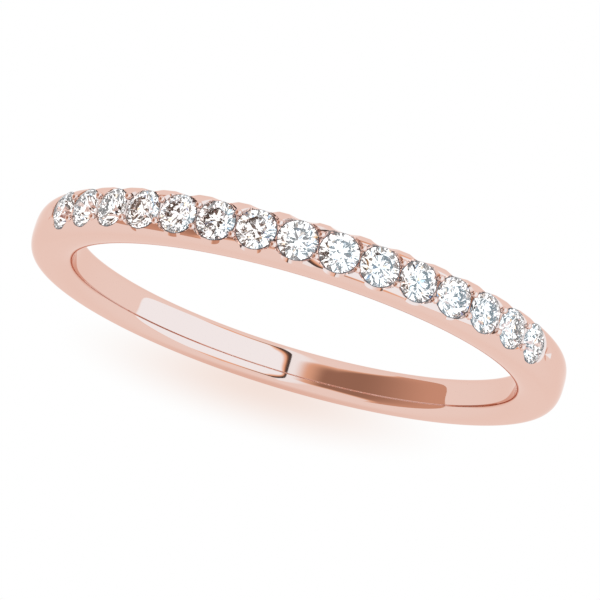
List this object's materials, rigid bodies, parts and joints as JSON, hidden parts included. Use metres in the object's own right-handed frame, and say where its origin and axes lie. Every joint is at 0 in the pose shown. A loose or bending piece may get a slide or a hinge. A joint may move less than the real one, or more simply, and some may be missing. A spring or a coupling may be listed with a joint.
{
  "type": "wedding band",
  "caption": "Slim domed rose gold wedding band, bead-set across its upper face with one row of round brilliant diamonds.",
  "frame": {"origin": "centre of the finger hole", "axes": "+Y along the finger through the hole, +Z from the hole's centre towards the middle stone of the row, +X across the ring"},
  "size_m": [0.0208, 0.0018, 0.0207],
  "materials": {
    "rose_gold": "mirror-polished 14 carat rose gold",
    "diamond": "polished facets, colourless"
  },
  "bodies": {
    "root": {"band": "rose_gold", "diamond_01": "diamond", "diamond_02": "diamond", "diamond_03": "diamond", "diamond_04": "diamond", "diamond_05": "diamond", "diamond_06": "diamond", "diamond_07": "diamond", "diamond_08": "diamond", "diamond_09": "diamond", "diamond_10": "diamond", "diamond_11": "diamond", "diamond_12": "diamond", "diamond_13": "diamond", "diamond_14": "diamond", "diamond_15": "diamond"}
  },
  "joints": []
}
